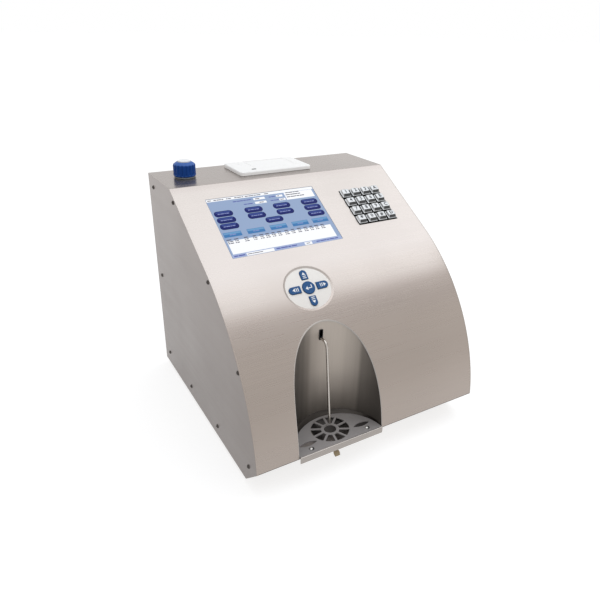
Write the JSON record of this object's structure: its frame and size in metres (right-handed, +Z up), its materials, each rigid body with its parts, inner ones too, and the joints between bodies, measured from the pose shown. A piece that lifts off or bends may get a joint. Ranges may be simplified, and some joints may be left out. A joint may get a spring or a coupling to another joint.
{
  "type": "milk analyzer",
  "caption": "Bench milk analyser in a folded steel case, with a cup niche and tilting intake tube, display, keypad, arrow pad, slip printer and a rinse bottle.",
  "frame": {"origin": "on the bench, under the middle of the instrument's overall box", "axes": "+X to the operator's right, +Y from the front to the back, +Z up"},
  "size_m": [0.32, 0.3345, 0.3194],
  "materials": {
    "case_steel": "brushed, satin",
    "bright_steel": "smooth, bright",
    "foot_rubber": "matte",
    "key_metal": "satin",
    "blue_key": "satin",
    "brass": "machined",
    "bracket_plastic": "matte",
    "screen_glass": "smooth, lit picture behind it",
    "black_plastic": "matte",
    "circuit_board": "satin",
    "printer_white": "satin",
    "roller_rubber": "matte",
    "paper": "matte",
    "bottle_plastic": "milky",
    "cap_white": "satin",
    "cap_blue": "satin",
    "cell_aluminium": "satin",
    "motor_metal": "satin",
    "supply_aluminium": "satin",
    "switch_black": "gloss"
  },
  "bodies": {
    "case": {"left_side_panel": "case_steel", "right_side_panel": "case_steel", "front_top_cover": "case_steel", "rear_panel": "case_steel", "base_plate": "case_steel", "niche_liner": "case_steel", "foot_front_left": "foot_rubber", "foot_front_right": "foot_rubber", "foot_rear_left": "foot_rubber", "foot_rear_right": "foot_rubber", "cup_platform": "case_steel", "drain_sump": "case_steel", "drain_nipple": "brass", "tube_bracket": "bracket_plastic", "touch_glass": "screen_glass", "display_module": "black_plastic", "main_board": "circuit_board", "keypad_base": "black_plastic", "arrow_pad": "case_steel", "pad_switch_board": "circuit_board", "printer_housing": "printer_white", "lid_hinge_pin": "bright_steel", "rinse_bottle": "bottle_plastic", "neck_ring": "cap_white", "measuring_cell": "cell_aluminium", "pump_head": "bracket_plastic", "pump_motor": "motor_metal", "power_supply": "supply_aluminium", "power_inlet": "black_plastic", "data_port": "bright_steel"},
    "key_1": {"key_1": "key_metal"},
    "key_2": {"key_2": "key_metal"},
    "key_3": {"key_3": "key_metal"},
    "key_a": {"key_a": "key_metal"},
    "key_4": {"key_4": "key_metal"},
    "key_5": {"key_5": "key_metal"},
    "key_6": {"key_6": "key_metal"},
    "key_b": {"key_b": "key_metal"},
    "key_7": {"key_7": "key_metal"},
    "key_8": {"key_8": "key_metal"},
    "key_9": {"key_9": "key_metal"},
    "key_c": {"key_c": "key_metal"},
    "key_star": {"key_star": "key_metal"},
    "key_0": {"key_0": "key_metal"},
    "key_hash": {"key_hash": "key_metal"},
    "key_d": {"key_d": "key_metal"},
    "arrow_key_up": {"arrow_key_up": "blue_key"},
    "arrow_key_down": {"arrow_key_down": "blue_key"},
    "arrow_key_left": {"arrow_key_left": "blue_key"},
    "arrow_key_right": {"arrow_key_right": "blue_key"},
    "enter_key": {"enter_key": "blue_key"},
    "printer_feed_button": {"printer_feed_button": "printer_white"},
    "printer_lid": {"printer_lid": "printer_white"},
    "platen_roller": {"platen_roller": "roller_rubber"},
    "paper_roll": {"paper_roll": "paper"},
    "cap_insert": {"cap_insert": "cap_white"},
    "bottle_cap": {"bottle_cap": "cap_blue"},
    "intake_tube": {"intake_tube": "bright_steel"},
    "pump_rotor": {"pump_rotor": "cap_white"},
    "power_switch": {"power_switch": "switch_black"}
  },
  "joints": [
    {"name": "key_1_press", "type": "slide", "parent": "case", "child": "key_1", "axis": [0, 0.5075, -0.8616], "range_m": [0, 0.0008], "stiffness_N_per_m": 500, "springref_m": -0.0005},
    {"name": "key_2_press", "type": "slide", "parent": "case", "child": "key_2", "axis": [0, 0.5075, -0.8616], "range_m": [0, 0.0008], "stiffness_N_per_m": 500, "springref_m": -0.0005},
    {"name": "key_3_press", "type": "slide", "parent": "case", "child": "key_3", "axis": [0, 0.5075, -0.8616], "range_m": [0, 0.0008], "stiffness_N_per_m": 500, "springref_m": -0.0005},
    {"name": "key_a_press", "type": "slide", "parent": "case", "child": "key_a", "axis": [0, 0.5075, -0.8616], "range_m": [0, 0.0008], "stiffness_N_per_m": 500, "springref_m": -0.0005},
    {"name": "key_4_press", "type": "slide", "parent": "case", "child": "key_4", "axis": [0, 0.5075, -0.8616], "range_m": [0, 0.0008], "stiffness_N_per_m": 500, "springref_m": -0.0005},
    {"name": "key_5_press", "type": "slide", "parent": "case", "child": "key_5", "axis": [0, 0.5075, -0.8616], "range_m": [0, 0.0008], "stiffness_N_per_m": 500, "springref_m": -0.0005},
    {"name": "key_6_press", "type": "slide", "parent": "case", "child": "key_6", "axis": [0, 0.5075, -0.8616], "range_m": [0, 0.0008], "stiffness_N_per_m": 500, "springref_m": -0.0005},
    {"name": "key_b_press", "type": "slide", "parent": "case", "child": "key_b", "axis": [0, 0.5075, -0.8616], "range_m": [0, 0.0008], "stiffness_N_per_m": 500, "springref_m": -0.0005},
    {"name": "key_7_press", "type": "slide", "parent": "case", "child": "key_7", "axis": [0, 0.5075, -0.8616], "range_m": [0, 0.0008], "stiffness_N_per_m": 500, "springref_m": -0.0005},
    {"name": "key_8_press", "type": "slide", "parent": "case", "child": "key_8", "axis": [0, 0.5075, -0.8616], "range_m": [0, 0.0008], "stiffness_N_per_m": 500, "springref_m": -0.0005},
    {"name": "key_9_press", "type": "slide", "parent": "case", "child": "key_9", "axis": [0, 0.5075, -0.8616], "range_m": [0, 0.0008], "stiffness_N_per_m": 500, "springref_m": -0.0005},
    {"name": "key_c_press", "type": "slide", "parent": "case", "child": "key_c", "axis": [0, 0.5075, -0.8616], "range_m": [0, 0.0008], "stiffness_N_per_m": 500, "springref_m": -0.0005},
    {"name": "key_star_press", "type": "slide", "parent": "case", "child": "key_star", "axis": [0, 0.5075, -0.8616], "range_m": [0, 0.0008], "stiffness_N_per_m": 500, "springref_m": -0.0005},
    {"name": "key_0_press", "type": "slide", "parent": "case", "child": "key_0", "axis": [0, 0.5075, -0.8616], "range_m": [0, 0.0008], "stiffness_N_per_m": 500, "springref_m": -0.0005},
    {"name": "key_hash_press", "type": "slide", "parent": "case", "child": "key_hash", "axis": [0, 0.5075, -0.8616], "range_m": [0, 0.0008], "stiffness_N_per_m": 500, "springref_m": -0.0005},
    {"name": "key_d_press", "type": "slide", "parent": "case", "child": "key_d", "axis": [0, 0.5075, -0.8616], "range_m": [0, 0.0008], "stiffness_N_per_m": 500, "springref_m": -0.0005},
    {"name": "arrow_key_up_press", "type": "slide", "parent": "case", "child": "arrow_key_up", "axis": [0, 0.6585, -0.7526], "range_m": [0, 0.0008], "stiffness_N_per_m": 500, "springref_m": -0.0005},
    {"name": "arrow_key_down_press", "type": "slide", "parent": "case", "child": "arrow_key_down", "axis": [0, 0.6585, -0.7526], "range_m": [0, 0.0008], "stiffness_N_per_m": 500, "springref_m": -0.0005},
    {"name": "arrow_key_left_press", "type": "slide", "parent": "case", "child": "arrow_key_left", "axis": [0, 0.6585, -0.7526], "range_m": [0, 0.0008], "stiffness_N_per_m": 500, "springref_m": -0.0005},
    {"name": "arrow_key_right_press", "type": "slide", "parent": "case", "child": "arrow_key_right", "axis": [0, 0.6585, -0.7526], "range_m": [0, 0.0008], "stiffness_N_per_m": 500, "springref_m": -0.0005},
    {"name": "enter_key_press", "type": "slide", "parent": "case", "child": "enter_key", "axis": [0, 0.6585, -0.7526], "range_m": [0, 0.0008], "stiffness_N_per_m": 500, "springref_m": -0.0005},
    {"name": "printer_feed_button_press", "type": "slide", "parent": "case", "child": "printer_feed_button", "axis": [0, 0, -1], "range_m": [0, 0.0008], "stiffness_N_per_m": 500, "springref_m": -0.0005},
    {"name": "printer_lid_hinge", "type": "hinge", "parent": "case", "child": "printer_lid", "pos_m": [0.0045, 0.14665, 0.3008], "axis": [-1, 0, 0], "range_deg": [0, 95]},
    {"name": "platen_turn", "type": "hinge", "parent": "printer_lid", "child": "platen_roller", "pos_m": [0.0045, 0.11065, 0.2958], "axis": [1, 0, 0], "continuous": true},
    {"name": "paper_roll_turn", "type": "hinge", "parent": "case", "child": "paper_roll", "pos_m": [0.0045, 0.12765, 0.2803], "axis": [1, 0, 0], "continuous": true},
    {"name": "cap_lift", "type": "slide", "parent": "case", "child": "cap_insert", "axis": [0, 0, 1], "range_m": [0, 0.0061]},
    {"name": "cap_turn", "type": "hinge", "parent": "cap_insert", "child": "bottle_cap", "pos_m": [-0.123, 0.12005, 0.31], "axis": [0, 0, 1], "range_deg": [0, 720]},
    {"name": "intake_tube_tilt", "type": "hinge", "parent": "case", "child": "intake_tube", "pos_m": [-0.047, -0.08035, 0.151], "axis": [-1, 0, 0], "range_deg": [0, 18]},
    {"name": "pump_rotor_turn", "type": "hinge", "parent": "case", "child": "pump_rotor", "pos_m": [0.095, -0.04465, 0.078], "axis": [0, 1, 0], "continuous": true},
    {"name": "power_switch_rock", "type": "hinge", "parent": "case", "child": "power_switch", "pos_m": [0.089, 0.16125, 0.093], "axis": [-1, 0, 0], "range_deg": [0, 16]}
  ],
  "couplings": [
    {"joint": "paper_roll_turn", "follows": "platen_turn", "ratio": 0.25714},
    {"joint": "cap_lift", "follows": "cap_turn", "m_per_rad": 0.00047746}
  ]
}
